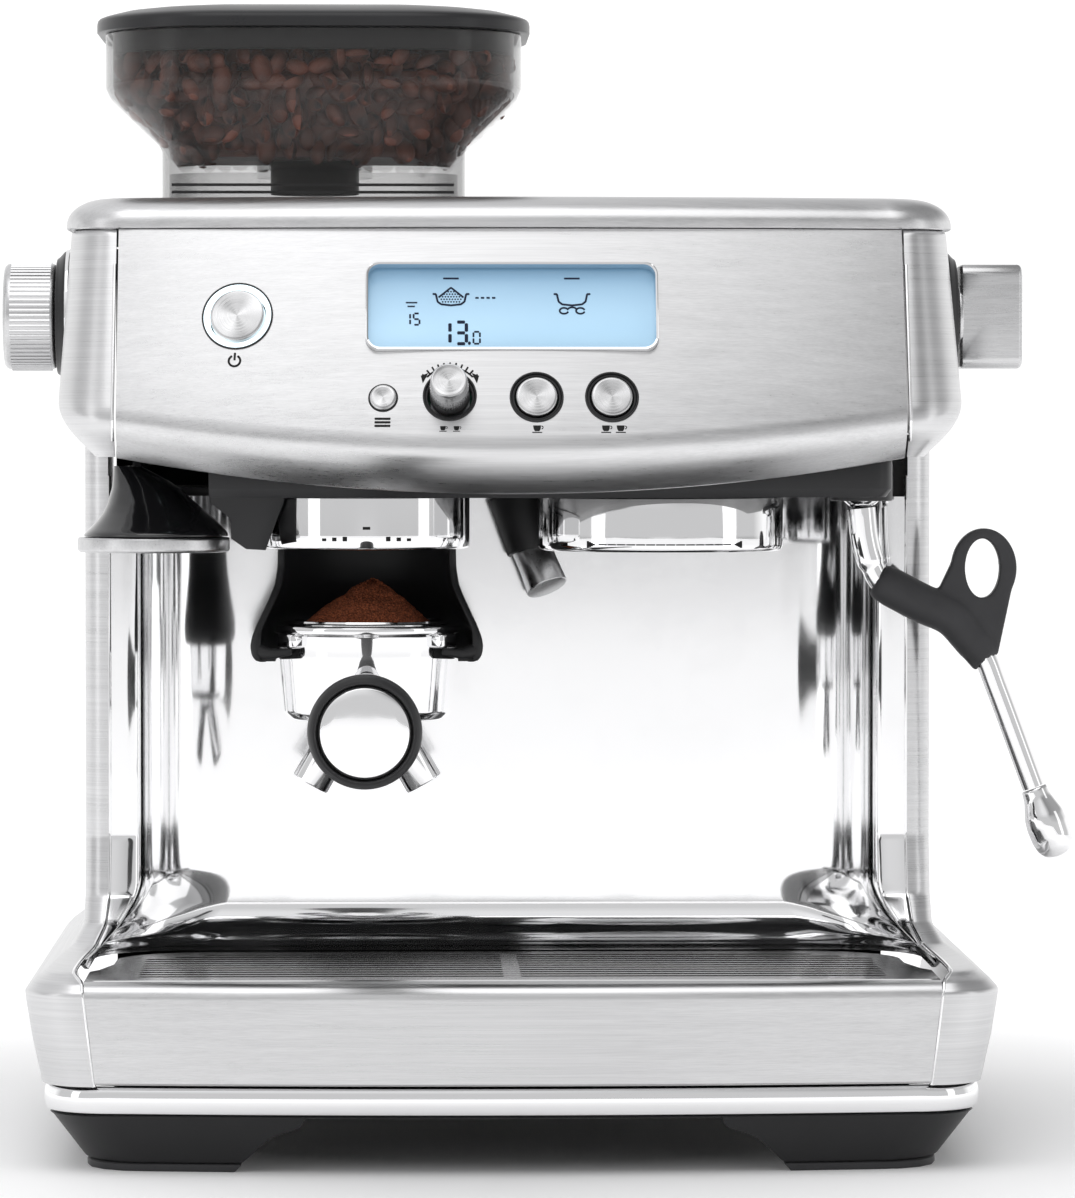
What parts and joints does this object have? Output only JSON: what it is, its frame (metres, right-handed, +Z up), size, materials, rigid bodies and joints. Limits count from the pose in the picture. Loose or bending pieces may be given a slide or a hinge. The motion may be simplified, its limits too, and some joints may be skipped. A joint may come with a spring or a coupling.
{
  "type": "espresso machine",
  "caption": "Steel-cased home espresso machine with a bean hopper and burr grinder, portafilter in a dosing cradle, tamper, steam wand, drip tray and rear water tank.",
  "frame": {"origin": "middle of the whole machine's footprint, at the underside of the feet", "axes": "+X to the user's right, +Y to the back, +Z up; the front faces -Y"},
  "size_m": [0.3772, 0.4334, 0.4043],
  "materials": {
    "brushed": "horizontally brushed stainless steel",
    "polished": "mirror-polished stainless steel",
    "chrome": "bright chrome plating",
    "satin": "satin turned steel",
    "black": "charcoal moulded plastic, fine texture",
    "gloss_black": "gloss black moulded plastic",
    "rubber": "soft black silicone rubber",
    "smoked": "smoke-tinted clear plastic",
    "lens": "clear display window, blue backlight",
    "light": "translucent white light pipe",
    "circuit": "green circuit board",
    "aluminium": "cast aluminium, as cast",
    "steel": "machined steel"
  },
  "bodies": {
    "casing": {"base_plinth": "black", "chrome_trim": "chrome", "foot_pad_front_left": "rubber", "foot_pad_rear_left": "rubber", "foot_pad_front_right": "rubber", "foot_pad_rear_right": "rubber", "side_panel_right": "brushed", "side_panel_left": "brushed", "backsplash": "polished", "rear_cover": "black", "power_inlet": "rubber", "front_fascia": "brushed", "lcd_window": "lens", "control_board": "circuit", "power_light_ring": "light", "head_cheek_right": "brushed", "head_cheek_left": "brushed", "head_underside": "black", "top_cover": "brushed", "grinder_gearbox": "aluminium", "grinder_motor": "steel", "upper_burr": "steel", "grinder_shroud": "chrome", "grind_cradle": "black", "group_head": "chrome", "shower_screen": "steel", "heater_block": "aluminium", "pump": "aluminium", "hot_water_spout": "black", "grind_dial_flange": "chrome", "steam_dial_flange": "chrome"},
    "hopper": {"hopper_bowl": "smoked"},
    "hopper_lid": {"hopper_lid": "black"},
    "hopper_lock": {"hopper_lock": "black"},
    "lower_burr": {"lower_burr": "steel"},
    "grind_size_dial": {"grind_size_dial": "satin"},
    "steam_lever": {"steam_lever": "satin"},
    "power_button": {"power_button": "satin"},
    "menu_button": {"menu_button": "satin"},
    "one_cup_button": {"one_cup_button": "satin"},
    "two_cup_button": {"two_cup_button": "satin"},
    "dial_stem": {"dial_stem": "steel"},
    "dial_cap": {"dial_cap": "satin"},
    "wand_swivel": {"wand_collar": "black"},
    "steam_wand": {"wand_ball": "steel", "wand_tube": "chrome", "wand_grip": "rubber", "wand_tip": "chrome"},
    "portafilter": {"portafilter_body": "chrome", "portafilter_handle": "black", "handle_cap": "chrome", "portafilter_spout": "chrome", "filter_basket": "polished"},
    "tamper": {"tamper_disc": "satin", "tamper_handle": "gloss_black"},
    "drip_tray": {"drip_tray": "black", "drip_tray_front": "brushed"},
    "drip_grid": {"drip_grid": "satin"},
    "water_tank": {"water_tank": "smoked"},
    "tank_lid": {"tank_lid": "black"}
  },
  "joints": [
    {"name": "hopper_lift", "type": "slide", "parent": "casing", "child": "hopper", "axis": [0, 0, 1], "range_m": [0, 0.12]},
    {"name": "hopper_lid_lift", "type": "slide", "parent": "hopper", "child": "hopper_lid", "axis": [0, 0, 1], "range_m": [0, 0.06]},
    {"name": "hopper_lock_turn", "type": "hinge", "parent": "hopper", "child": "hopper_lock", "pos_m": [-0.07855, 0.03905, 0.35], "axis": [0, 0, 1], "range_deg": [-90, 0]},
    {"name": "lower_burr_spin", "type": "hinge", "parent": "casing", "child": "lower_burr", "pos_m": [-0.07855, 0.03905, 0.3], "axis": [0, 0, 1], "continuous": true},
    {"name": "grind_size_turn", "type": "hinge", "parent": "casing", "child": "grind_size_dial", "pos_m": [-0.17455, 0.00404, 0.2923], "axis": [1, 0, 0], "range_deg": [-135, 135]},
    {"name": "steam_lever_turn", "type": "hinge", "parent": "casing", "child": "steam_lever", "pos_m": [0.15545, 0.00404, 0.2923], "axis": [1, 0, 0], "range_deg": [-60, 60]},
    {"name": "power_press", "type": "slide", "parent": "casing", "child": "power_button", "axis": [0.1315, 0.9191, -0.3714], "range_m": [0, 0.0015], "stiffness_N_per_m": 600, "springref_m": -0.002},
    {"name": "menu_press", "type": "slide", "parent": "casing", "child": "menu_button", "axis": [0.0621, 0.9254, -0.3739], "range_m": [0, 0.0015], "stiffness_N_per_m": 400, "springref_m": -0.002},
    {"name": "one_cup_press", "type": "slide", "parent": "casing", "child": "one_cup_button", "axis": [-0.0115, 0.9271, -0.3746], "range_m": [0, 0.0015], "stiffness_N_per_m": 500, "springref_m": -0.002},
    {"name": "two_cup_press", "type": "slide", "parent": "casing", "child": "two_cup_button", "axis": [-0.0476, 0.9261, -0.3742], "range_m": [0, 0.0015], "stiffness_N_per_m": 500, "springref_m": -0.002},
    {"name": "dial_press", "type": "slide", "parent": "casing", "child": "dial_stem", "axis": [0.0302, 0.9268, -0.3744], "range_m": [0, 0.0015], "stiffness_N_per_m": 800, "springref_m": -0.002},
    {"name": "dial_turn", "type": "hinge", "parent": "dial_stem", "child": "dial_cap", "pos_m": [-0.03095, -0.10684, 0.2635], "axis": [-0.0302, -0.9268, 0.3744], "continuous": true},
    {"name": "wand_swivel_turn", "type": "hinge", "parent": "casing", "child": "wand_swivel", "pos_m": [0.11395, -0.04195, 0.232], "axis": [0, 0, 1], "range_deg": [-110, 0]},
    {"name": "wand_tilt", "type": "hinge", "parent": "wand_swivel", "child": "steam_wand", "pos_m": [0.11395, -0.04195, 0.232], "axis": [0, 1, 0], "range_deg": [-10, 15]},
    {"name": "portafilter_slide", "type": "slide", "parent": "casing", "child": "portafilter", "axis": [0, -1, 0], "range_m": [0, 0.12]},
    {"name": "tamper_pull", "type": "slide", "parent": "casing", "child": "tamper", "axis": [0, 0, -1], "range_m": [0, 0.08]},
    {"name": "drip_tray_slide", "type": "slide", "parent": "casing", "child": "drip_tray", "axis": [0, -1, 0], "range_m": [0, 0.13]},
    {"name": "drip_grid_lift", "type": "slide", "parent": "drip_tray", "child": "drip_grid", "axis": [0, 0, 1], "range_m": [0, 0.05]},
    {"name": "tank_lift", "type": "slide", "parent": "casing", "child": "water_tank", "axis": [0, 0, 1], "range_m": [0, 0.3]},
    {"name": "tank_lid_open", "type": "hinge", "parent": "water_tank", "child": "tank_lid", "pos_m": [-0.00955, 0.21554, 0.3184], "axis": [-1, 0, 0], "range_deg": [0, 95]}
  ]
}
